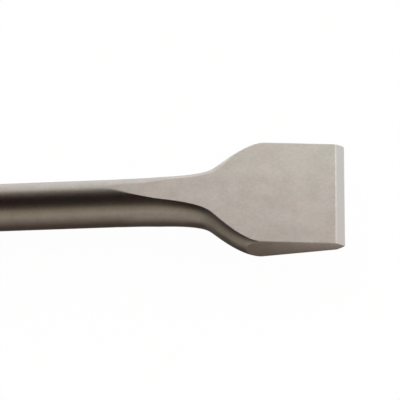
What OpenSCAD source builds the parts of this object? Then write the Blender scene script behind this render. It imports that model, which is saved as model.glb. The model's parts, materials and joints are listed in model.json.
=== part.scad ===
// Wide flat chisel for a hammer drill, forged in one piece from round bar.
// X runs along the axis from the centre of the shank's rear end to the cutting edge.
// Z is square to the blade, so its two flats face up and down.

/* [Overall] */
// Length from the rear of the shank to the cutting edge
total_len = 250; // [180:5:400]
// Diameter of the round shaft
shaft_d = 14; // [13:0.5:18]

/* [Shank] */
// Diameter of the shank that enters the hammer
shank_d = 10; // [9:0.1:11]
// Length of the shank, from its rear end to the shaft
shank_len = 53; // [46:1:70]
// Chamfer round the rear end
rear_chamfer = 1; // [0.3:0.1:1.5]
// Fillet at the root of the shank
root_fillet = 0.8; // [0.3:0.1:1]
// Chamfer round the rear of the shaft
shaft_chamfer = 1.2; // [0.3:0.1:1.4]

/* [Drive slots] */
// Width of the two slots that the hammer's keys turn
slot_w = 3.9; // [3:0.1:4.4]
// Depth of a slot below the shank's surface
slot_depth = 1.9; // [1:0.1:2.2]
// Length of a slot's level floor from the rear end
slot_len = 29; // [20:0.5:34]
// Radius of the cutter that leaves the slot's sloping end
cutter_r = 14; // [8:1:20]

/* [Lock grooves] */
// Distance from the rear end to the closed end of a groove
groove_start = 9; // [6:0.5:14]
// Length of a groove between its two round ends
groove_len = 20; // [14:0.5:26]
// Radius of the locking ball's groove
groove_r = 3.45; // [2.5:0.05:4]
// Depth of a groove below the shank's surface
groove_depth = 1.75; // [1:0.05:2.2]

/* [Flats] */
// Length of the flats, from their first touch on the shaft to the ground bevel
flat_len = 64.5; // [55:0.5:90]
// Thickness of the blade where the ground bevel starts
edge_t = 2.65; // [1.5:0.05:5]
// Angle between the two ground bevels
edge_angle = 52; // [30:1:90]
// Width of the blunt land left on the cutting edge
edge_land = 0.2; // [0.1:0.05:0.6]

/* [Head] */
// Width of the blade across its trimmed sides
blade_w = 40; // [30:0.5:60]
// Metal trimmed off each side of the forged head
side_trim = 1.45; // [0.2:0.05:3]
// Length of the flats that lies on the plain round shaft
neck_start = 2.5; // [1:0.1:8]
// How far the forged neck stands proud of the shaft there
neck_rise = 0.05; // [0.04:0.01:0.3]
// Reach of the slow widening of the neck, before its tight bend
neck_reach = 23.5; // [12:0.5:26]
// Distance from the start of the flats to the middle of the flare
flare_at = 27.6; // [24:0.2:34]
// Half width of the forging at the middle of the flare
flare_half = 10.9; // [9.5:0.1:13]
// Angle of the flare's straight flank to the axis
flare_angle = 41; // [30:1:55]
// Reach of the straight flank on either side of the flare's middle
flank_reach = 1.8; // [0.5:0.1:4]
// Distance from the start of the flats to the end of the shoulder's curve
shoulder_at = 43.5; // [40:0.5:54]
// Reach of the shoulder's curve along the side of the blade
shoulder_reach = 6.6; // [2:0.1:10]
// Radius of the rounded sides over half the thickness between the flats
side_rounding = 1.23; // [1.06:0.01:1.6]

/* [Hidden] */
$fn = 96;

// Curves of the forging: steps round a side, and along the neck and the shoulder
side_steps = 18;
neck_steps = 18;
shoulder_steps = 18;
// How far a cut runs past what it cuts
over = 10;

shank_r = shank_d / 2;
shaft_r = shaft_d / 2;
// The flats close in evenly from the shaft's surface to the blade's edge thickness
flat_slope = (shaft_r - edge_t / 2) / flat_len;
flat_angle = atan(flat_slope);
bevel_len = (edge_t - edge_land) / 2 / tan(edge_angle / 2);
bevel_x = total_len - bevel_len;
flat_x = bevel_x - flat_len;
// The round bar ends inside the forged neck, and the neck's surface starts inside the bar
neck_cover = 3;
neck_bite = 0.3;
bar_end = flat_x + neck_start + neck_cover;

// Half the thickness between the flats, at a distance past their start
function half_t(x) = shaft_r - flat_slope * x;
// Radius of the forging's rounded side at a point of its outline
function side_r(p) = min(p[1], side_rounding * half_t(p[0]));

// Point on a curve with end points p[0] and p[3] and handles p[1] and p[2], and the unit vector along it
function curve_point(p, t) =
    p[0] * (1 - t) ^ 3 + 3 * p[1] * t * (1 - t) ^ 2 + 3 * p[2] * t ^ 2 * (1 - t) + p[3] * t ^ 3;
function curve_slope(p, t) =
    (p[1] - p[0]) * (1 - t) ^ 2 + 2 * (p[2] - p[1]) * t * (1 - t) + (p[3] - p[2]) * t ^ 2;
function curve_along(p, t) = curve_slope(p, t) / norm(curve_slope(p, t));

// The forging's outline seen on the flat, in X from the start of the flats and half width in Y
flare = [flare_at, flare_half];
flank = flank_reach * [cos(flare_angle), sin(flare_angle)];
shoulder = [shoulder_at, blade_w / 2 + side_trim];
neck_y = shaft_r + neck_rise;
neck_curve = [[neck_start, neck_y], [neck_start + neck_reach, neck_y], flare - flank, flare];
neck_root = [neck_start - neck_cover, shaft_r - neck_bite];
shoulder_curve = [flare, flare + flank, shoulder - [shoulder_reach, 0], shoulder];
blade_end = [flat_len + bevel_len + over / 2, shoulder[1]];

// Stations along the outline: a point, and the way out of the side there
function station(p, t) = [curve_point(p, t), [-curve_along(p, t)[1], curve_along(p, t)[0]]];
stations = concat(
    [[neck_root, [0, 1]]],
    [for (i = [0:neck_steps - 1]) station(neck_curve, i / neck_steps)],
    [for (i = [0:shoulder_steps]) station(shoulder_curve, i / shoulder_steps)],
    [[blade_end, [0, 1]]]
);

// Point on a rounded side, at an angle above the middle of the blade's thickness
function side_point(s, angle) =
    let (r = side_r(s[0]), p = s[0] - s[1] * r * (1 - cos(angle)))
    [p[0], p[1], r * sin(angle)];

module along_x() rotate([0, 90, 0]) children();

// Half section of the turned bar: radius to the right, length upwards
module bar_section() {
    difference() {
        union() {
            polygon([
                [0, 0],
                [shank_r - rear_chamfer, 0],
                [shank_r, rear_chamfer],
                [shank_r, shank_len],
                [0, shank_len]
            ]);
            polygon([
                [0, shank_len],
                [shaft_r - shaft_chamfer, shank_len],
                [shaft_r, shank_len + shaft_chamfer],
                [shaft_r, bar_end],
                [0, bar_end]
            ]);
            translate([0, shank_len - root_fillet]) square([shank_r + root_fillet, root_fillet]);
        }
        translate([shank_r + root_fillet, shank_len - root_fillet]) circle(root_fillet);
    }
}

module turned_bar() along_x() rotate_extrude() bar_section();

// The forged head before it is cut: round-sided sections lofted from the bar to the blade
module forged_head() {
    rise = [for (i = [0:side_steps]) -90 + 180 * i / side_steps];
    ring = 2 * len(rise);
    count = len(stations);
    near_side = [for (s = stations) [for (a = rise) side_point(s, a)]];
    points = [
        for (side = near_side)
            for (p = concat(side, [for (i = [side_steps:-1:0]) [side[i][0], -side[i][1], side[i][2]]])) p
    ];
    walls = [
        for (i = [0:count - 2])
            for (j = [0:ring - 1])
                let (a = i * ring + j, b = i * ring + (j + 1) % ring)
                    for (f = [[a, a + ring, b], [b, a + ring, b + ring]]) f
    ];
    start_face = [for (j = [0:ring - 1]) j];
    end_face = [for (j = [ring - 1:-1:0]) (count - 1) * ring + j];
    translate([flat_x, 0, 0]) polyhedron(points, concat([start_face, end_face], walls));
}

// Two slots, open at the rear, with the sloping end that a disc cutter leaves
module drive_slots() {
    for (turn = [0, 180])
        rotate([turn, 0, 0])
            translate([0, shank_r - slot_depth, -slot_w / 2])
                linear_extrude(slot_w) {
                    translate([-over, 0]) square([slot_len + over, over]);
                    translate([slot_len, cutter_r]) circle(cutter_r);
                }
}

// Two closed grooves for the locking balls, a quarter turn from the slots
module lock_grooves() {
    for (turn = [0, 180])
        rotate([turn, 0, 0])
            translate([groove_start + groove_r, 0, shank_r - groove_depth + groove_r]) {
                sphere(groove_r);
                along_x() cylinder(r = groove_r, h = groove_len - 2 * groove_r);
                translate([groove_len - 2 * groove_r, 0, 0]) sphere(groove_r);
            }
}

// Everything above a plane that falls towards the edge from a line across the tool
module above_slope(x, z, angle) {
    translate([x, 0, z])
        rotate([0, angle, 0])
            translate([-over, -blade_w, 0])
                cube([flat_len + 2 * over, 2 * blade_w, shaft_d]);
}

module flat_cuts() {
    for (turn = [0, 180])
        rotate([turn, 0, 0]) above_slope(flat_x, shaft_r, flat_angle);
}

module side_trims() {
    for (turn = [0, 180])
        rotate([turn, 0, 0])
            translate([flat_x, blade_w / 2, -shaft_d])
                cube([flat_len + bevel_len + over, blade_w, 2 * shaft_d]);
}

module edge_cuts() {
    for (turn = [0, 180])
        rotate([turn, 0, 0]) above_slope(bevel_x, edge_t / 2, edge_angle / 2);
    translate([total_len, -blade_w, -shaft_d]) cube([over, 2 * blade_w, 2 * shaft_d]);
}

module chisel() {
    color("darkgray")
        difference() {
            union() {
                turned_bar();
                forged_head();
            }
            drive_slots();
            lock_grooves();
            flat_cuts();
            side_trims();
            edge_cuts();
        }
}

chisel();
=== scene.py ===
import json
import math

import bpy
import numpy as np
from mathutils import Euler, Matrix, Vector


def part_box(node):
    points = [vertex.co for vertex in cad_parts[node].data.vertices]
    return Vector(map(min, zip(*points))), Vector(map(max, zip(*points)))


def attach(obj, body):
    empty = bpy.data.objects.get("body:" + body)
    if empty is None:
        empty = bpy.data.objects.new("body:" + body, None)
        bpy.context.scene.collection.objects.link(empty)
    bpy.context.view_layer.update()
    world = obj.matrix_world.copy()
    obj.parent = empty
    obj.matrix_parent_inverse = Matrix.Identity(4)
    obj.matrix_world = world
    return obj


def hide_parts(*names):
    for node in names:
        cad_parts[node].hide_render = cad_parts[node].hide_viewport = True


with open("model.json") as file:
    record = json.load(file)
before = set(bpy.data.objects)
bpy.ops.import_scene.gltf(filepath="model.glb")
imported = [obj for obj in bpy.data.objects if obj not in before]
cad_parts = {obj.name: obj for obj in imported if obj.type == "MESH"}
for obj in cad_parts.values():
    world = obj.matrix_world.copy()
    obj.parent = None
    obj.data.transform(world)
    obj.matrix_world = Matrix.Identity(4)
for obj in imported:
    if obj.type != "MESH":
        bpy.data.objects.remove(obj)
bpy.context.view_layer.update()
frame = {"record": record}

mm = 0.001
low, high = (Vector(corner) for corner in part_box("chisel"))
shankMount = next(mount for mount in frame["record"]["mounts"] if mount["name"] == "shank")

# The whole tool, as the frame has it
tool = {
    "length": high.x - low.x,
    "shaftRadius": high.z,
    "bladeHalf": high.y,
    "shankRadius": shankMount["dims"]["r_mm"] * mm,
}


def smoothStep(t):
    t = np.clip(t, 0, 1)
    return t * t * (3 - 2 * t)


def between(place, start, end, first, last):
    # a value that turns smoothly from first to last while place goes from start to end
    return first + (last - first) * float(smoothStep((place - start) / (end - start)))


def softCorner(before, corner, after, steps):
    # points round a corner, without the first one
    t = np.arange(1, steps + 1)[:, None] / steps
    before, corner, after = (np.array(point, float) for point in (before, corner, after))
    return before * (1 - t) ** 2 + 2 * corner * t * (1 - t) + after * t ** 2


def straight(start, end, steps):
    # points along a line, without the first one
    t = np.arange(1, steps + 1)[:, None] / steps
    return np.array(start, float) * (1 - t) + np.array(end, float) * t


def crowd(start, end, steps):
    # places from start to end, closer together towards the end
    t = np.linspace(0, 1, steps + 1)
    return end - (end - start) * (1 - t) ** 2


# The shank and the shaft: sections square to the axis, from +Y round to +Z

shank = {
    "length": 53 * mm,
    "rearChamfer": 1 * mm,
    "rootFillet": 0.8 * mm,
    "shaftChamfer": 1.2 * mm,
    "softEdge": 0.15 * mm,     # rounding left by the cutters on every edge of the shank
    "softShoulder": 0.3 * mm,  # rounding of the chamfer that leads up to the shaft
    "evenRun": 12 * mm,        # length before the head where the points are already spread evenly
}

driveSlot = {
    "halfWidth": 1.95 * mm,
    "depth": 1.9 * mm,
    "flatLength": 29 * mm,     # level floor, before the disc cutter's run-out
    "cutterRadius": 14 * mm,
    "tipHalf": 0.05 * mm,      # half width at which the run-out is closed
    "widest": 0.985,           # most of the section's width that the floor may take
    "softShare": 0.45,         # most of its height or half width that a soft edge may take
}

lockGroove = {
    "start": 9 * mm,
    "length": 20 * mm,
    "ballRadius": 3.45 * mm,
    "depth": 1.75 * mm,
    "tipAngle": 0.012,         # radians from the top of the shank at which its end is closed
    "softShare": 0.3,          # most of its half width that a soft edge may take
}

barMesh = {
    # steps round a quarter of the section
    "slotFloor": 6,
    "slotCorner": 2,
    "slotWall": 6,
    "cutEdge": 4,
    "plain": 14,
    "grooveBed": 16,
    # rings along the bar
    "rearEdge": 5,
    "rear": 9,
    "grooveEnd": 14,
    "groove": 9,
    "runOut": 12,
    "slotEnd": 10,
    "shankEnd": 9,
    "rootFillet": 12,
    "shaftEdge": 6,
    "shaft": 44,
    "ringGap": 1 * mm,         # usual gap between two stretches of rings
    "tipGap": 0.05 * mm,       # gap where a slot or groove opens or closes
    "halvings": 50,            # steps of each search for such a place
}
cutSteps = barMesh["slotFloor"] + barMesh["slotCorner"] + barMesh["slotWall"] + barMesh["cutEdge"]
bedSteps = barMesh["cutEdge"] + barMesh["grooveBed"]
quarterSteps = cutSteps + barMesh["plain"] + bedSteps


def onCircle(radius, angle):
    return np.array([radius * math.cos(angle), radius * math.sin(angle)])


def barArc(radius, start, end, steps):
    angles = start + (end - start) * np.arange(1, steps + 1) / steps
    return np.stack([radius * np.cos(angles), radius * np.sin(angles)], axis=1)


def turnedProfile(end):
    # (x, radius) along the turned bar up to end, each edge of it softened
    thin, thick, length = tool["shankRadius"], tool["shaftRadius"], shank["length"]
    soft, shoulder, fillet = shank["softEdge"], shank["softShoulder"], shank["rootFillet"]
    rear = thin - shank["rearChamfer"]
    rearCorner = np.array([shank["rearChamfer"], thin])
    shoulderCorner = np.array([length + shank["shaftChamfer"], thick])
    rise = np.array([math.sqrt(0.5), math.sqrt(0.5)])
    rearRise, shoulderRise = rearCorner - soft * rise, shoulderCorner - shoulder * rise
    return np.concatenate([
        [[0, rear - soft]],
        softCorner([0, rear - soft], [0, rear], soft * rise + [0, rear], barMesh["rearEdge"]),
        [rearRise],
        softCorner(rearRise, rearCorner, rearCorner + [soft, 0], barMesh["rearEdge"]),
        [[length - fillet, thin]],
        softCorner([length - fillet, thin], [length, thin], [length, thin + fillet], barMesh["rootFillet"]),
        [shoulderRise],
        softCorner(shoulderRise, shoulderCorner, shoulderCorner + [shoulder, 0], barMesh["shaftEdge"]),
        [[end, thick]],
    ])


def slotFloor(x):
    # height of the slots' floor over the axis; the disc cutter lifts it at the end
    past = min(max(x - driveSlot["flatLength"], 0), driveSlot["cutterRadius"])
    lift = driveSlot["cutterRadius"] - math.sqrt(driveSlot["cutterRadius"] ** 2 - past ** 2)
    return tool["shankRadius"] - driveSlot["depth"] + lift


def slotHalf(x, radius, inset):
    # half the width of a slot's floor, nothing where the slot has ended
    floor = slotFloor(x) - inset
    if floor >= radius:
        return 0
    return min(driveSlot["halfWidth"] + inset, driveSlot["widest"] * math.sqrt(radius ** 2 - floor ** 2))


def grooveSpan():
    # where a groove has its full depth
    first = lockGroove["start"] + lockGroove["ballRadius"]
    last = lockGroove["start"] + lockGroove["length"] - lockGroove["ballRadius"]
    return first, last


def grooveCentre():
    return tool["shankRadius"] - lockGroove["depth"] + lockGroove["ballRadius"]


def grooveRadius(x):
    # radius of the ball's groove in the section at x, nothing where the groove has ended
    first, last = grooveSpan()
    past = max(first - x, 0, x - last)
    return math.sqrt(max(lockGroove["ballRadius"] ** 2 - past ** 2, 0))


def grooveAngle(x, radius):
    # angle from the top of the bar at which the groove starts
    centre, bed = grooveCentre(), grooveRadius(x)
    cosine = (centre ** 2 + radius ** 2 - bed ** 2) / (2 * centre * radius)
    return math.acos(cosine) if cosine < 1 else 0


def slotPart(x, radius):
    # the section from the middle of the slot's floor to the bar, and the angle where the bar starts
    inset = shank["softEdge"] * max(1 - x / shank["softEdge"], 0) ** 2
    half = slotHalf(x, radius, inset)
    if half <= driveSlot["tipHalf"]:
        barStart = driveSlot["tipHalf"] / radius
        return np.concatenate([[[radius, 0]], barArc(radius, 0, barStart, cutSteps)]), barStart
    floor, top = slotFloor(x) - inset, math.sqrt(radius ** 2 - half ** 2)
    soft = min(shank["softEdge"], driveSlot["softShare"] * (top - floor), driveSlot["softShare"] * half)
    barStart = math.asin(half / radius) + soft / radius
    part = np.concatenate([
        [[floor, 0]],
        straight([floor, 0], [floor, half - soft], barMesh["slotFloor"]),
        softCorner([floor, half - soft], [floor, half], [floor + soft, half], barMesh["slotCorner"]),
        straight([floor + soft, half], [top - soft, half], barMesh["slotWall"]),
        softCorner([top - soft, half], [top, half], onCircle(radius, barStart), barMesh["cutEdge"]),
    ])
    return part, barStart


def groovePart(x, radius):
    # the section from the bar to the middle of the groove's bed, and the angle where the bar ends
    groove = grooveAngle(x, radius)
    if groove <= lockGroove["tipAngle"]:
        barEnd = math.pi / 2 - driveSlot["tipHalf"] / radius
        return barArc(radius, barEnd, math.pi / 2, bedSteps), barEnd
    bed, centre = grooveRadius(x), grooveCentre()
    soft = min(shank["softEdge"], lockGroove["softShare"] * radius * groove)
    barEnd = math.pi / 2 - groove - soft / radius
    corner = onCircle(radius, math.pi / 2 - groove)
    bedAngle = math.atan2(corner[0], centre - corner[1]) - soft / bed
    bedAngles = bedAngle * (1 - np.arange(1, barMesh["grooveBed"] + 1) / barMesh["grooveBed"])
    bedStart = [bed * math.sin(bedAngle), centre - bed * math.cos(bedAngle)]
    part = np.concatenate([
        softCorner(onCircle(radius, barEnd), corner, bedStart, barMesh["cutEdge"]),
        np.stack([bed * np.sin(bedAngles), centre - bed * np.cos(bedAngles)], axis=1),
    ])
    return part, barEnd


def barQuarter(x, radius):
    # one quarter of the section at x, from +Y to +Z
    slot, barStart = slotPart(x, radius)
    groove, barEnd = groovePart(x, radius)
    points = np.concatenate([slot, barArc(radius, barStart, barEnd, barMesh["plain"]), groove])
    points[-1, 0] = 0
    return np.column_stack([np.full(len(points), x), points])


def plainQuarter(x, radius, evenly):
    # a plain round section; evenly is 0 beside the cuts of the shank and 1 at the forged head
    barStart = driveSlot["tipHalf"] / radius
    barEnd = math.pi / 2 - barStart
    gathered = np.concatenate([
        np.linspace(0, barStart, cutSteps + 1),
        np.linspace(barStart, barEnd, barMesh["plain"] + 1)[1:],
        np.linspace(barEnd, math.pi / 2, bedSteps + 1)[1:],
    ])
    angles = gathered * (1 - evenly) + np.linspace(0, math.pi / 2, quarterSteps + 1) * evenly
    points = np.column_stack([np.full(len(angles), x), radius * np.cos(angles), radius * np.sin(angles)])
    points[-1, 1] = 0
    return points


def closingX(isOpen, start, end):
    # where an opening that shrinks from start to end is gone
    for _ in range(barMesh["halvings"]):
        middle = (start + end) / 2
        start, end = (middle, end) if isOpen(middle) else (start, middle)
    return start


def barQuarters(end):
    # every section of the bar, from the rear of the shank to just before end
    thin, gap, tipGap = tool["shankRadius"], barMesh["ringGap"], barMesh["tipGap"]
    first, last = grooveSpan()
    runOut, runOutEnd = driveSlot["flatLength"], driveSlot["flatLength"] + driveSlot["cutterRadius"]
    slotEnd = closingX(lambda x: slotHalf(x, thin, 0) > driveSlot["tipHalf"], runOut, runOutEnd)
    slotNarrows = closingX(lambda x: slotHalf(x, thin, 0) >= driveSlot["halfWidth"], runOut, slotEnd)
    grooveOpens = closingX(lambda x: grooveAngle(x, thin) > lockGroove["tipAngle"],
                           first, lockGroove["start"])
    grooveEnds = first + last - grooveOpens
    profile = turnedProfile(end)
    places = profile[:, 0]
    cutX = np.concatenate([
        places[places < 2 * gap],
        np.linspace(2 * gap, grooveOpens - 0.3 * gap, barMesh["rear"]),
        [grooveOpens - tipGap],
        crowd(first, grooveOpens, barMesh["grooveEnd"]),
        np.linspace(first, last, barMesh["groove"])[1:-1],
        crowd(last, grooveEnds, barMesh["grooveEnd"]),
        [grooveEnds + tipGap, grooveEnds + 0.3 * gap, runOut + 0.5 * gap],
        np.linspace(runOut + gap, slotNarrows, barMesh["runOut"]),
        crowd(slotNarrows, slotEnd, barMesh["slotEnd"]),
    ])
    plainX = np.concatenate([
        [slotEnd + tipGap],
        np.linspace(slotEnd + gap, shank["length"] - 1.5 * gap, barMesh["shankEnd"]),
        places[places > shank["length"] - gap][:-1],
        np.linspace(shank["length"] + shank["shaftChamfer"] + 2 * gap, end - gap, barMesh["shaft"]),
    ])
    # two rings at one place are one
    cutX, plainX = np.unique(cutX.round(9)), np.unique(plainX.round(9))
    quarters = [barQuarter(x, radius) for x, radius in zip(cutX, np.interp(cutX, *profile.T))]
    for x, radius in zip(plainX, np.interp(plainX, *profile.T)):
        evenly = between(x, slotEnd + gap, end - shank["evenRun"], 0, 1)
        quarters.append(plainQuarter(x, radius, evenly))
    return quarters


# The forged head: sections square to its outline, cut by the flats, the trims and the bevels

head = {
    # the outline, in distances from the first touch of the flats on the shaft
    "flatLength": 64.2 * mm,   # up to the bevel
    "neckStart": 2.5 * mm,
    "neckRise": 0.05 * mm,     # how far the neck's sides start outside the shaft's
    "riseStart": 0.75,         # share of the stretch before the neck at which they start to do so
    "neckReach": 22 * mm,      # how far the neck stays slim on the near side
    "farReach": 23.2 * mm,     # and on the far side
    "flareAt": 27.66 * mm,
    "flareHalf": 11.05 * mm,
    "flareAngle": math.radians(41),
    "flankReach": 1.8 * mm,
    "farLag": 0.55 * mm,       # a forging is uneven: the far side flares a little later
    "shoulderAt": 43.5 * mm,
    "shoulderReach": 6.8 * mm,
    "trim": 1.3 * mm,          # metal cut off each side of the forging
    # the thickness and the edge
    "edgeThickness": 2.6 * mm,
    "edgeAngle": math.radians(54),
    "edgeLand": 0.2 * mm,      # thickness left at the blunt cutting edge
    # the sides, as their radius over half the thickness between the flats
    "sideRounding": 1.23,      # on the neck
    "shoulderRounding": 1.4,   # at the shoulder, where they are flatter
    "roundingStart": 31 * mm,  # where the one starts to turn into the other
    "roundingEnd": 41 * mm,    # and where it has
    # how the flats start on the shaft
    "apexLag": 0.9 * mm,       # how late they bite into it
    "apexReach": 28 * mm,      # where they have caught up
    "apexSoftness": 1.6 * mm,  # length over which they fade into it
    "apexLimit": 30,           # past so many of these lengths the fading is over
    "apexLead": 8 * mm,        # how far before the flats the head is modelled
    # the rounding of the flats' long edges
    "softApex": 4 * mm,        # near side, where the flats start
    "apexBlend": 6 * mm,       # length over which it sharpens from there
    "softEdge": 0.35 * mm,     # near side, along the neck
    "softFlare": 0.45 * mm,    # both sides, on the flare
    "flareBlend": 3 * mm,      # how far before and after the flare's middle the near side changes
    "farApex": 5 * mm,         # far side, where the flats start
    "farEdge": 2.5 * mm,       # far side, along the neck
    "farStart": 8 * mm,        # where the one starts to turn into the other
    "farEnd": 17 * mm,         # and where it has
    "farBlend": 5 * mm,        # length over which the far side sharpens on the flare
    "softTrim": 0.08 * mm,     # both sides, where the side was trimmed
    "trimBlend": 0.6 * mm,     # depth of the trim at which its edge is crisp
    "heightShare": 0.8,        # most of the section's height that a rounding may take
    "radiusShare": 0.9,        # and most of its side's radius
    # the rounding of the edges across the blade
    "softBevel": 0.3 * mm,     # between a flat and its bevel
    "softLand": 0.07 * mm,     # at the blunt cutting edge
    "landShare": 0.8,          # share of that rounding by which the edge falls
    "softCorner": 0.6 * mm,    # at the cutting edge's two corners, seen on the flat
}

headMesh = {
    # steps along the head
    "apex": 26,
    "neck": 84,
    "shoulder": 70,
    "blade": 44,
    "bevelEdge": 8,
    "bevel": 14,
    "land": 4,
    # points and steps round the side of a section, before they are spread out
    "wall": 9,
    "trimEdge": 16,
    "side": 48,
    "flatEdge": 40,
    "seating": 30,             # rounds that seat the rounding between the side and the flat
    "bendShare": 0.4,          # share of a section's points that go to its bends
}

flatSlope = (tool["shaftRadius"] - head["edgeThickness"] / 2) / head["flatLength"]
bevelSlope = math.tan(head["edgeAngle"] / 2)
bevelLength = (head["edgeThickness"] - head["edgeLand"]) / 2 / bevelSlope
bevelX = tool["length"] - bevelLength
flatX = bevelX - head["flatLength"]
headX = flatX - head["apexLead"]


def curvePoint(curve, t):
    first, second, third, fourth = curve
    return (first * (1 - t) ** 3 + 3 * second * t * (1 - t) ** 2
            + 3 * third * t ** 2 * (1 - t) + fourth * t ** 3)


def curveAngle(curve, t):
    first, second, third = np.diff(curve, axis=0)
    along = first * (1 - t) ** 2 + 2 * second * t * (1 - t) + third * t ** 2
    return math.atan2(along[1], along[0])


def outlineStations(reach, lag):
    # (distance from the start of the flats, half width, angle of the outline)
    start = np.array([head["neckStart"], tool["shaftRadius"] + head["neckRise"]])
    flare = np.array([head["flareAt"] + lag, head["flareHalf"]])
    flank = head["flankReach"] * np.array([math.cos(head["flareAngle"]), math.sin(head["flareAngle"])])
    shoulder = np.array([head["shoulderAt"], tool["bladeHalf"] + head["trim"]])
    neckCurve = [start, start + [reach, 0], flare - flank, flare]
    shoulderCurve = [flare, flare + flank, shoulder - [head["shoulderReach"], 0], shoulder]
    stations = []
    for t in np.arange(headMesh["apex"]) / headMesh["apex"]:
        distance = head["neckStart"] * t - head["apexLead"] * (1 - t)
        rise = between(t, head["riseStart"], 1, 0, head["neckRise"])
        stations.append((distance, tool["shaftRadius"] + rise, 0.0))
    for curve, steps in ((neckCurve, headMesh["neck"]), (shoulderCurve, headMesh["shoulder"])):
        for t in np.arange(steps) / steps:
            stations.append((*curvePoint(curve, t), curveAngle(curve, t)))
    edge, tip = head["flatLength"], head["flatLength"] + bevelLength
    bladeEnd, bevelStart = edge - head["softBevel"], edge + head["softBevel"]
    bevelEnd = tip - head["softLand"]
    blade = np.concatenate([
        np.linspace(head["shoulderAt"], bladeEnd, headMesh["blade"] + 1),
        np.linspace(bladeEnd, bevelStart, headMesh["bevelEdge"] + 1)[1:],
        np.linspace(bevelStart, bevelEnd, headMesh["bevel"] + 1)[1:],
        crowd(bevelEnd, tip, headMesh["land"])[1:],
    ])
    return stations + [(distance, shoulder[1], 0.0) for distance in blade]


def flatHeight(distance):
    return tool["shaftRadius"] - flatSlope * distance


def sideRadius(distance, half):
    ratio = between(distance, head["roundingStart"], head["roundingEnd"],
                    head["sideRounding"], head["shoulderRounding"])
    return min(half, ratio * flatHeight(distance))


def apexLift(distance):
    # what is left on near the apex, where the flat starts softly and a little late
    late = head["apexLag"] * max(1 - max(distance, 0) / head["apexReach"], 0) ** 2
    soft = head["apexSoftness"]
    start = soft * math.log(1 + math.exp(min((distance - late) / soft, head["apexLimit"])))
    return flatSlope * (distance - max(start, distance - late))


def topHeight(distance):
    # height of the flat, then of the bevel, with a soft edge between them and a soft cutting edge
    soft, land = head["softBevel"], head["softLand"]
    edge, tip = head["flatLength"], head["flatLength"] + bevelLength
    if distance < edge - soft:
        return flatHeight(distance) + apexLift(distance)
    edgeHeight = flatHeight(edge)
    if distance < edge + soft:
        t = (distance - edge + soft) / (2 * soft)
        before, after = flatHeight(edge - soft), edgeHeight - bevelSlope * soft
        return before * (1 - t) ** 2 + 2 * edgeHeight * t * (1 - t) + after * t ** 2
    past = max(distance - (tip - land), 0)
    fall = head["landShare"] * (land - math.sqrt(max(land ** 2 - past ** 2, 0)))
    return edgeHeight - bevelSlope * (distance - edge) - fall


def nearSoftness(distance):
    # how round the flat's edge is along the near side, from the apex to the flare
    flare, blend = head["flareAt"], head["flareBlend"]
    edge = between(distance, flare - blend, flare + blend, head["softEdge"], head["softFlare"])
    return between(distance, 0, head["apexBlend"], head["softApex"], edge)


def farSoftness(distance):
    # the same along the far side
    flare, blend = head["flareAt"], head["farBlend"]
    edge = between(distance, flare, flare + blend, head["farEdge"], head["softFlare"])
    return between(distance, head["farStart"], head["farEnd"], head["farApex"], edge)


def cornerWear(distance):
    # how far the side steps in where the cutting edge's corner is rounded
    soft = head["softCorner"]
    past = min(max(distance - (head["flatLength"] + bevelLength - soft), 0), soft)
    return soft - math.sqrt(soft ** 2 - past ** 2)


def headSide(distance, half, turn, soft):
    # the section's side as rows of (depth from the outline, height, angle of its normal)
    forged = sideRadius(distance, half)
    height, lean = topHeight(distance), flatSlope * math.sin(turn)
    wall = max((half - tool["bladeHalf"]) / math.cos(turn), 0) + cornerWear(distance)
    soft += (head["softTrim"] - soft) * float(smoothStep(wall / head["trimBlend"]))
    soft = min(soft, head["heightShare"] * height, head["radiusShare"] * forged)
    topTurn = math.pi / 2 + math.atan(lean)
    slant = soft * math.sqrt(1 + lean ** 2)

    def underFlat(depth):
        # height of the centre of a rounding that touches the flat
        return height - lean * depth - slant

    # the rounding between the side and the flat
    depth = 0.0
    for _ in range(headMesh["seating"]):
        level = underFlat(depth)
        depth = forged - math.sqrt(max((forged - soft) ** 2 - level ** 2, 0))
    topCentre = np.array([depth, level])
    # the rounding between the trimmed wall and the forged side
    inner = forged - wall - soft
    wallLevel = math.sqrt((forged - soft) ** 2 - inner ** 2) if 0 < inner else math.inf
    if wallLevel >= underFlat(wall + soft):
        wallCentre = topCentre = np.array([wall + soft, underFlat(wall + soft)])
        wallTurn = sideTurn = topTurn / 2
    else:
        wallCentre = np.array([wall + soft, wallLevel])
        wallTurn = math.atan2(wallLevel, inner)
        sideTurn = math.atan2(topCentre[1], forged - topCentre[0])
    count = headMesh["wall"]
    rows = [np.column_stack([np.full(count, wall), np.linspace(0, wallCentre[1], count), np.zeros(count)])]
    for centre, radius, start, end, steps in (
        (wallCentre, soft, 0, wallTurn, headMesh["trimEdge"]),
        (np.array([forged, 0]), forged, wallTurn, sideTurn, headMesh["side"]),
        (topCentre, soft, sideTurn, topTurn, headMesh["flatEdge"]),
    ):
        if end <= start:
            continue
        turns = np.linspace(start, end, steps + 1)
        depths, heights = centre[0] - radius * np.cos(turns), centre[1] + radius * np.sin(turns)
        rows.append(np.column_stack([depths, heights, turns]))
    return np.concatenate(rows)


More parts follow.
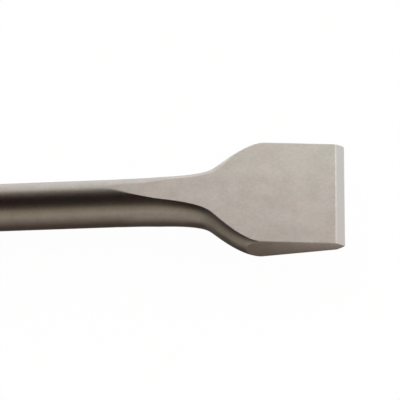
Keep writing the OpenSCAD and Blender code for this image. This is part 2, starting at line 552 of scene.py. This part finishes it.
def headRing(far, near):
    # one section from the stations of its far and its near side, which meet on the middle line
    paths, normals = [], []
    for (distance, half, turn), softness in ((far, farSoftness), (near, nearSoftness)):
        depth, level, normal = headSide(distance, half, turn, softness(distance)).T
        x = flatX + distance + math.sin(turn) * depth
        y = half - math.cos(turn) * depth
        paths.append(np.column_stack([x, y, level]))
        normals.append(np.append(normal, normal[-1]))
    middle = (paths[0][-1, 0] + paths[1][-1, 0]) / 2
    share = headMesh["bendShare"]
    quarters = []
    for path, normal in zip(paths, normals):
        height = path[-1, 2] - flatSlope * (middle - path[-1, 0])
        path = np.vstack([path, [middle, 0, height]])
        run = np.append(0, np.cumsum(np.linalg.norm(np.diff(path, axis=0), axis=1)))
        place = share * normal / normal[-1] + (1 - share) * run / run[-1]
        even = np.linspace(0, 1, quarterSteps + 1)
        quarters.append(np.column_stack([np.interp(even, place, values) for values in path.T]))
    return wholeRing(*quarters)


# The whole chisel as one skin of rings

edgeAndGroundMasks = {
    "bendStart": 300.0,        # bend, in radians a metre, where the polish and painted highlight of an edge start
    "bendFull": 700.0,         # and where it is complete
    "groundFade": 0.15 * mm,   # length over which the ground bevel starts
    "groundFacing": 0.5,       # only what faces up or down more than this was ground
}
tiny = 1e-12                   # keeps a division by a length from failing


def wholeRing(far, near):
    # both quarters mirrored downwards, counterclockwise seen from the edge
    return np.concatenate([
        far[:-1],
        near[:0:-1] * [1, -1, 1],
        near[:-1] * [1, -1, -1],
        far[:0:-1] * [1, 1, -1],
    ])


def chiselRings():
    bar = [wholeRing(quarter, quarter) for quarter in barQuarters(headX)]
    far = outlineStations(head["farReach"], head["farLag"])
    near = outlineStations(head["neckReach"], 0)
    forged = [headRing(*pair) for pair in zip(far, near)]
    print(f"chisel: {len(bar)} rings of shank and shaft, {len(forged)} of the forged head")
    return np.stack(bar + forged)


def neighbours(values):
    # the change round each ring and along the tool, at each point
    around = np.roll(values, -1, axis=1) - np.roll(values, 1, axis=1)
    along = np.concatenate([values[1:], values[-1:]]) - np.concatenate([values[:1], values[:-1]])
    return around, along


def surfaceMasks(rings):
    # how sharply the surface bends outwards, and where it was ground to make the bevels
    around, along = neighbours(rings)
    normals = np.cross(around, along)
    normals /= np.maximum(np.linalg.norm(normals, axis=2, keepdims=True), tiny)
    bend = np.zeros(rings.shape[:2])
    for step, turn in zip((around, along), neighbours(normals)):
        length = np.maximum((step ** 2).sum(axis=2), tiny)
        bend = np.maximum(bend, (step * turn).sum(axis=2) / length)
    # worn edges where the surface bends sharply; their bright colour also paints a highlight along them
    polishAndHighlight = smoothStep((bend - edgeAndGroundMasks["bendStart"]) / (edgeAndGroundMasks["bendFull"] - edgeAndGroundMasks["bendStart"]))
    pastBevel = smoothStep((rings[:, :, 0] - bevelX) / edgeAndGroundMasks["groundFade"] + 0.5)
    ground = pastBevel * (np.abs(normals[:, :, 2]) > edgeAndGroundMasks["groundFacing"])
    return {"polishAndHighlight": polishAndHighlight, "ground": ground}


def chiselBody():
    rings = chiselRings()
    count, around = rings.shape[:2]
    corner = np.arange(count * around).reshape(count, around)
    nextCorner = np.roll(corner, -1, axis=1)
    walls = np.stack([corner[:-1], nextCorner[:-1], nextCorner[1:], corner[1:]], axis=2).reshape(-1, 4)
    ends = [corner[0][::-1].tolist(), corner[-1].tolist()]
    data = bpy.data.meshes.new("chiselBody")
    data.from_pydata(rings.reshape(-1, 3).tolist(), [], walls.tolist() + ends)
    data.validate()
    data.polygons.foreach_set("use_smooth", [True] * len(walls) + [False] * len(ends))
    for name, values in surfaceMasks(rings).items():
        mask = data.attributes.new(name, "FLOAT", "POINT")
        mask.data.foreach_set("value", values.ravel().astype(np.float32))
    data.update()
    piece = bpy.data.objects.new("chiselBody", data)
    bpy.context.scene.collection.objects.link(piece)
    print(f"chisel: {count} rings of {around} points, {2 * len(walls)} triangles and the two ends")
    return piece


# Materials

def fillSockets(tree, sockets, values):
    for socket, value in zip(sockets, values):
        if isinstance(value, bpy.types.NodeSocket):
            tree.links.new(value, socket)
        else:
            socket.default_value = value


def addNode(tree, kind, settings=None, inputs=None):
    node = tree.nodes.new(kind)
    for name, value in (settings or {}).items():
        setattr(node, name, value)
    inputs = inputs or {}
    fillSockets(tree, [node.inputs[name] for name in inputs], inputs.values())
    return node


def mixColour(tree, factor, first, second, blend="MIX"):
    node = addNode(tree, "ShaderNodeMix", {"data_type": "RGBA", "blend_type": blend})
    # the colour mix has its factor first and its two colours after those of the other kinds
    fillSockets(tree, [node.inputs[index] for index in (0, 6, 7)], (factor, first, second))
    return node.outputs[2]


def mathNode(tree, operation, *values, clamp=False):
    node = addNode(tree, "ShaderNodeMath", {"operation": operation, "use_clamp": clamp})
    fillSockets(tree, node.inputs, values)
    return node.outputs[0]


def noise(tree, place, size, detail):
    return addNode(tree, "ShaderNodeTexNoise", inputs={
        "Vector": place, "Scale": 1 / size, "Detail": detail,
    }).outputs["Fac"]


def emptyTree(owner):
    owner.use_nodes = True
    owner.node_tree.nodes.clear()
    return owner.node_tree


forgedSteel = {
    "light": (0.47, 0.44, 0.40, 1),        # blasted steel
    "dark": (0.40, 0.37, 0.33, 1),         # where the scale bit deeper
    "wornAndHighlight": (0.66, 0.64, 0.60, 1),         # bright worn edges, partly a painted highlight along them
    "ground": (0.525, 0.507, 0.472, 1),    # freshly ground bevels
    "warmTint": (1.025, 0.993, 1.003, 1),  # faint tint left by the heat, over the near side
    "coolTint": (0.975, 1.008, 0.995, 1),  # and over the far side
    "tintLean": 17.0,                      # how fast the one turns into the other across the tool
    "tintSpread": 1.6,                     # how unevenly it does
    # size of the patches of each kind, and how finely they are broken up
    "tintPatch": (14 * mm, 2),
    "blotch": (5 * mm, 3),
    "mottle": (0.9 * mm, 3),
    "grain": (0.16 * mm, 2),
    "mottleShare": 0.5,                    # the rest of the mottling is the larger blotches
    "darkBelow": 0.35,
    "lightOver": 0.65,
    "wornHighlightGain": 1.2,                       # how much of the worn edges and their painted highlight the mottling leaves bright
    "grainDepth": 0.008 * mm,
    "roughness": 0.30,
    "roughSpread": 0.06,
    "groundRoughness": 0.24,
}


def steelMaterial():
    steel = forgedSteel
    material = bpy.data.materials.new("forgedSteel")
    tree = emptyTree(material)
    place = addNode(tree, "ShaderNodeTexCoord").outputs["Object"]
    # the worn edges, which also carry a painted highlight, and the ground bevels
    polishAndHighlight = addNode(tree, "ShaderNodeAttribute", {"attribute_name": "polishAndHighlight"}).outputs["Fac"]
    ground = addNode(tree, "ShaderNodeAttribute", {"attribute_name": "ground"}).outputs["Fac"]
    blotch, mottle = noise(tree, place, *steel["blotch"]), noise(tree, place, *steel["mottle"])
    # blasted steel, lighter and darker
    blotchPart = mathNode(tree, "MULTIPLY", blotch, 1 - steel["mottleShare"])
    tone = mathNode(tree, "MULTIPLY_ADD", mottle, steel["mottleShare"], blotchPart)
    tone = addNode(tree, "ShaderNodeMapRange", inputs={
        "Value": tone, "From Min": steel["darkBelow"], "From Max": steel["lightOver"],
    }).outputs["Result"]
    colour = mixColour(tree, tone, steel["dark"], steel["light"])
    # ground bevels, and worn edges brightened with a painted highlight
    colour = mixColour(tree, ground, colour, steel["ground"])
    brightness = mathNode(tree, "MULTIPLY", mottle, steel["wornHighlightGain"])
    wornAndHighlight = mathNode(tree, "MULTIPLY", polishAndHighlight, brightness, clamp=True)
    colour = mixColour(tree, wornAndHighlight, colour, steel["wornAndHighlight"])
    # the heat's tint, warm to cool across the tool and uneven in patches
    side = addNode(tree, "ShaderNodeSeparateXYZ", inputs={"Vector": place}).outputs["Y"]
    patch = mathNode(tree, "SUBTRACT", noise(tree, place, *steel["tintPatch"]), 0.5)
    lean = mathNode(tree, "MULTIPLY_ADD", side, steel["tintLean"], 0.5)
    cool = mathNode(tree, "MULTIPLY_ADD", patch, steel["tintSpread"], lean, clamp=True)
    tint = mixColour(tree, cool, steel["warmTint"], steel["coolTint"])
    colour = mixColour(tree, 1.0, colour, tint, "MULTIPLY")
    # gloss and grain
    unevenness = mathNode(tree, "SUBTRACT", mottle, 0.5)
    rough = mathNode(tree, "MULTIPLY_ADD", unevenness, steel["roughSpread"], steel["roughness"])
    rough = mathNode(tree, "MULTIPLY_ADD", ground, steel["groundRoughness"] - steel["roughness"], rough)
    bump = addNode(tree, "ShaderNodeBump", inputs={
        "Strength": 1.0, "Distance": steel["grainDepth"], "Height": noise(tree, place, *steel["grain"]),
    }).outputs["Normal"]
    shader = addNode(tree, "ShaderNodeBsdfPrincipled", inputs={
        "Base Color": colour, "Roughness": rough, "Normal": bump, "Metallic": 1.0,
    })
    addNode(tree, "ShaderNodeOutputMaterial", inputs={"Surface": shader.outputs["BSDF"]})
    print("steel: done")
    return material


# The studio

studio = {
    "floorSize": 4.0,
    "floorColour": (0.9, 0.9, 0.9, 1),
    "floorShare": 0.92,        # share of the floor's own glow, the rest is matte paper
    "floorGlow": 1.06,
    "paper": (1, 1, 1, 1),     # the white that the camera sees behind the floor
    "strength": 1.4,
    # degrees over the front horizon, round the tool's axis, then the light that comes from there
    "sky": [
        (-180, 1.270, 1.251, 1.251),
        (-150, 0.900, 0.880, 0.870),
        (-132, 0.340, 0.320, 0.300),
        (-112, 0.120, 0.110, 0.100),
        (-86, 0.077, 0.062, 0.052),
        (-60, 0.130, 0.100, 0.078),
        (-36, 0.281, 0.240, 0.217),
        (-14, 0.454, 0.405, 0.368),
        (0, 0.535, 0.484, 0.420),
        (12, 0.434, 0.397, 0.333),
        (26, 0.371, 0.321, 0.261),
        (36, 0.123, 0.103, 0.074),
        (48, 0.042, 0.028, 0.021),
        (66, 0.016, 0.007, 0.009),
        (88, 0.012, 0.006, 0.006),
        (100, 0.072, 0.048, 0.045),
        (112, 0.205, 0.175, 0.154),
        (124, 0.454, 0.421, 0.400),
        (132, 0.995, 0.961, 0.943),
        (150, 1.125, 1.117, 1.166),
        (180, 1.270, 1.251, 1.251),
    ],
    # towards the two ends of the tool the sky is even: shares of the axis where that starts and is complete
    "endStart": 0.5,
    "endFull": 0.95,
    # the sine of the height over the level, then the light from behind the shank
    "rear": [
        (-1, 0.10, 0.09, 0.075),
        (-0.7, 0.17, 0.155, 0.125),
        (-0.3, 0.29, 0.265, 0.22),
        (0.0, 0.33, 0.30, 0.25),
        (0.2, 0.24, 0.215, 0.18),
        (0.42, 0.03, 0.025, 0.022),
        (1, 0.01, 0.008, 0.008),
    ],
    "front": (0.80, 0.79, 0.77),
}


def mixShader(tree, factor, first, second):
    mix = addNode(tree, "ShaderNodeMixShader", inputs={"Fac": factor})
    fillSockets(tree, list(mix.inputs)[1:], (first.outputs[0], second.outputs[0]))
    return mix.outputs[0]


def skyColour(colour):
    # colours of a ramp stay under 1, so the strength is taken out of them
    return [value / studio["strength"] for value in colour] + [1]


def skyRamp(tree, place, stops):
    ramp = addNode(tree, "ShaderNodeValToRGB", inputs={"Fac": place})
    elements = ramp.color_ramp.elements
    for index, (position, *colour) in enumerate(stops):
        # a new ramp has two stops of its own
        element = elements[index] if index < 2 else elements.new(position)
        element.position = position
        element.color = skyColour(colour)
    return ramp.outputs["Color"]


def studioWorld():
    world = bpy.data.worlds.new("studio")
    bpy.context.scene.world = world
    tree = emptyTree(world)
    direction = addNode(tree, "ShaderNodeTexCoord").outputs["Generated"]
    parts = addNode(tree, "ShaderNodeSeparateXYZ", inputs={"Vector": direction}).outputs
    # round the tool's axis
    front = mathNode(tree, "MULTIPLY", parts["Y"], -1.0)
    angle = mathNode(tree, "ARCTAN2", parts["Z"], front)
    place = mathNode(tree, "MULTIPLY_ADD", angle, 1 / (2 * math.pi), 0.5)
    around = skyRamp(tree, place, [(degrees / 360 + 0.5, *colour) for degrees, *colour in studio["sky"]])
    # beyond its two ends
    height = mathNode(tree, "MULTIPLY_ADD", parts["Z"], 0.5, 0.5)
    rear = skyRamp(tree, height, [(sine / 2 + 0.5, *colour) for sine, *colour in studio["rear"]])
    side = mathNode(tree, "MULTIPLY_ADD", parts["X"], 0.5, 0.5)
    ends = mixColour(tree, side, rear, skyColour(studio["front"]))
    share = addNode(tree, "ShaderNodeMapRange", {"interpolation_type": "SMOOTHSTEP"}, {
        "Value": mathNode(tree, "ABSOLUTE", parts["X"]),
        "From Min": studio["endStart"],
        "From Max": studio["endFull"],
    }).outputs["Result"]
    sky = mixColour(tree, share, around, ends)
    lit = addNode(tree, "ShaderNodeBackground", inputs={"Color": sky, "Strength": studio["strength"]})
    paper = addNode(tree, "ShaderNodeBackground", inputs={"Color": studio["paper"], "Strength": 1.0})
    seen = addNode(tree, "ShaderNodeLightPath").outputs["Is Camera Ray"]
    addNode(tree, "ShaderNodeOutputWorld", inputs={"Surface": mixShader(tree, seen, lit, paper)})


def flatPanel(name, left, right, bottom, top, level):
    # one level rectangle as an object
    corners = [(left, bottom, level), (right, bottom, level), (right, top, level), (left, top, level)]
    data = bpy.data.meshes.new(name)
    data.from_pydata(corners, [], [(0, 1, 2, 3)])
    panel = bpy.data.objects.new(name, data)
    bpy.context.scene.collection.objects.link(panel)
    return panel


def studioFloor():
    half, centre = studio["floorSize"] / 2, (low.x + high.x) / 2
    floor = flatPanel("studioFloor", centre - half, centre + half, -half, half, low.z)
    floor.visible_glossy = False
    material = bpy.data.materials.new("studioPaper")
    tree = emptyTree(material)
    matte = addNode(tree, "ShaderNodeBsdfDiffuse", inputs={"Color": studio["floorColour"]})
    glow = addNode(tree, "ShaderNodeEmission", inputs={
        "Color": studio["paper"], "Strength": studio["floorGlow"],
    })
    surface = mixShader(tree, studio["floorShare"], matte, glow)
    addNode(tree, "ShaderNodeOutputMaterial", inputs={"Surface": surface})
    floor.data.materials.append(material)


# Soft boxes and dark cards near the blade, unseen by the camera. Centre and half size are in millimetres,
# along the tool and across it. The tilt leans a box over from the level, and the turn swings it round the
# vertical. The fade is the share of each half over which it dies away. A dark card takes light away
softBoxes = {
    "behind": {
        "centre": (300, 392, 205), "half": (160, 190), "tilt": 125, "glow": 0.75, "fade": (0.5, 0.8),
    },
    "over": {
        "centre": (395, 0, 330), "half": (145, 120), "tilt": 0, "glow": 0.9, "fade": (0.4, 0.5),
    },
    "front": {
        "centre": (390, -330, 230), "half": (130, 130), "tilt": 55, "glow": 0.9, "fade": (0.5, 0.5),
    },
    "low": {
        "centre": (258, -56, -6.9), "half": (45, 32), "tilt": 0, "glow": 0.44, "fade": (0.9, 0.15),
    },
    "neck": {
        "centre": (192, -150, 8), "half": (30, 45), "tilt": 90, "glow": 0.28, "fade": (0.8, 0.8),
    },
    "neckLow": {
        "centre": (194.2, -24, -6.9), "half": (9.5, 19), "tilt": 0, "glow": 0.13, "fade": (0.26, 0.7),
    },
    # a dark card along the side of the flare, and one over the neck
    "flareShade": {
        "centre": (212, -14.2, -1), "half": (8, 2.7), "tilt": 90, "turn": -41, "dark": 0.4,
        "fade": (0.7, 0.8),
    },
    "neckShade": {
        "centre": (196, -29, 23), "half": (13, 7.5), "tilt": 53, "dark": 0.6, "fade": (0.7, 0.8),
    },
}
boxLight = (1, 0.985, 0.97, 1)


def softBox(name):
    box = softBoxes[name]
    width, height = (value * mm for value in box["half"])
    panel = flatPanel(name + "Box", -width, width, -height, height, 0)
    turned = Euler((math.radians(box["tilt"]), 0, math.radians(box.get("turn", 0)))).to_matrix()
    panel.matrix_world = Matrix.Translation(Vector(box["centre"]) * mm) @ turned.to_4x4()
    panel.visible_camera = panel.visible_diffuse = panel.visible_shadow = False
    material = bpy.data.materials.new(name + "Glow")
    tree = emptyTree(material)
    place = addNode(tree, "ShaderNodeSeparateXYZ", inputs={
        "Vector": addNode(tree, "ShaderNodeTexCoord").outputs["Object"],
    }).outputs
    dark = box.get("dark", 0)
    # what it gives or takes, fading towards its sides
    amount = dark or box["glow"]
    for axis, half, fade in zip("XY", (width, height), box["fade"]):
        inside = mathNode(tree, "SUBTRACT", half, mathNode(tree, "ABSOLUTE", place[axis]))
        edge = addNode(tree, "ShaderNodeMapRange", {"interpolation_type": "SMOOTHSTEP"}, {
            "Value": inside, "From Min": 0.0, "From Max": half * fade,
        }).outputs["Result"]
        amount = mathNode(tree, "MULTIPLY", edge, amount)
    clear = addNode(tree, "ShaderNodeBsdfTransparent")
    surface = clear.outputs[0]
    if dark:
        tree.links.new(mathNode(tree, "SUBTRACT", 1.0, amount), clear.inputs["Color"])
    else:
        glow = addNode(tree, "ShaderNodeEmission", inputs={"Color": boxLight, "Strength": amount})
        both = addNode(tree, "ShaderNodeAddShader")
        fillSockets(tree, both.inputs, (surface, glow.outputs[0]))
        surface = both.outputs[0]
    addNode(tree, "ShaderNodeOutputMaterial", inputs={"Surface": surface})
    panel.data.materials.append(material)


viewpoint = {
    "aim": Vector((208.007, 0.184, 0)) * mm,
    "azimuth": math.radians(9.003),
    "elevation": math.radians(45.308),
    "roll": math.radians(-8.509),
    "distance": 496.66 * mm,
    "lens": 153.391,
    "sensor": 36,
    "nearest": 0.01,
    "farthest": 20,
}


def studioCamera():
    data = bpy.data.cameras.new("studioCamera")
    data.lens = viewpoint["lens"]
    data.sensor_width = viewpoint["sensor"]
    data.clip_start, data.clip_end = viewpoint["nearest"], viewpoint["farthest"]
    camera = bpy.data.objects.new("studioCamera", data)
    bpy.context.scene.collection.objects.link(camera)
    # level view first, then turned about its own axis
    aimed = Euler((math.pi / 2 - viewpoint["elevation"], 0, viewpoint["azimuth"])).to_matrix()
    rolled = aimed @ Matrix.Rotation(viewpoint["roll"], 3, "Z")
    back = aimed @ Vector((0, 0, 1))
    centre = viewpoint["aim"] + back * viewpoint["distance"]
    camera.matrix_world = Matrix.Translation(centre) @ rolled.to_4x4()
    bpy.context.scene.camera = camera


bpy.context.scene.view_settings.view_transform = "Standard"
studioCamera()
studioWorld()
studioFloor()
for name in softBoxes:
    softBox(name)
print("studio: done")

chisel = chiselBody()
chisel.data.materials.append(steelMaterial())
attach(chisel, "root")
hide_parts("chisel")
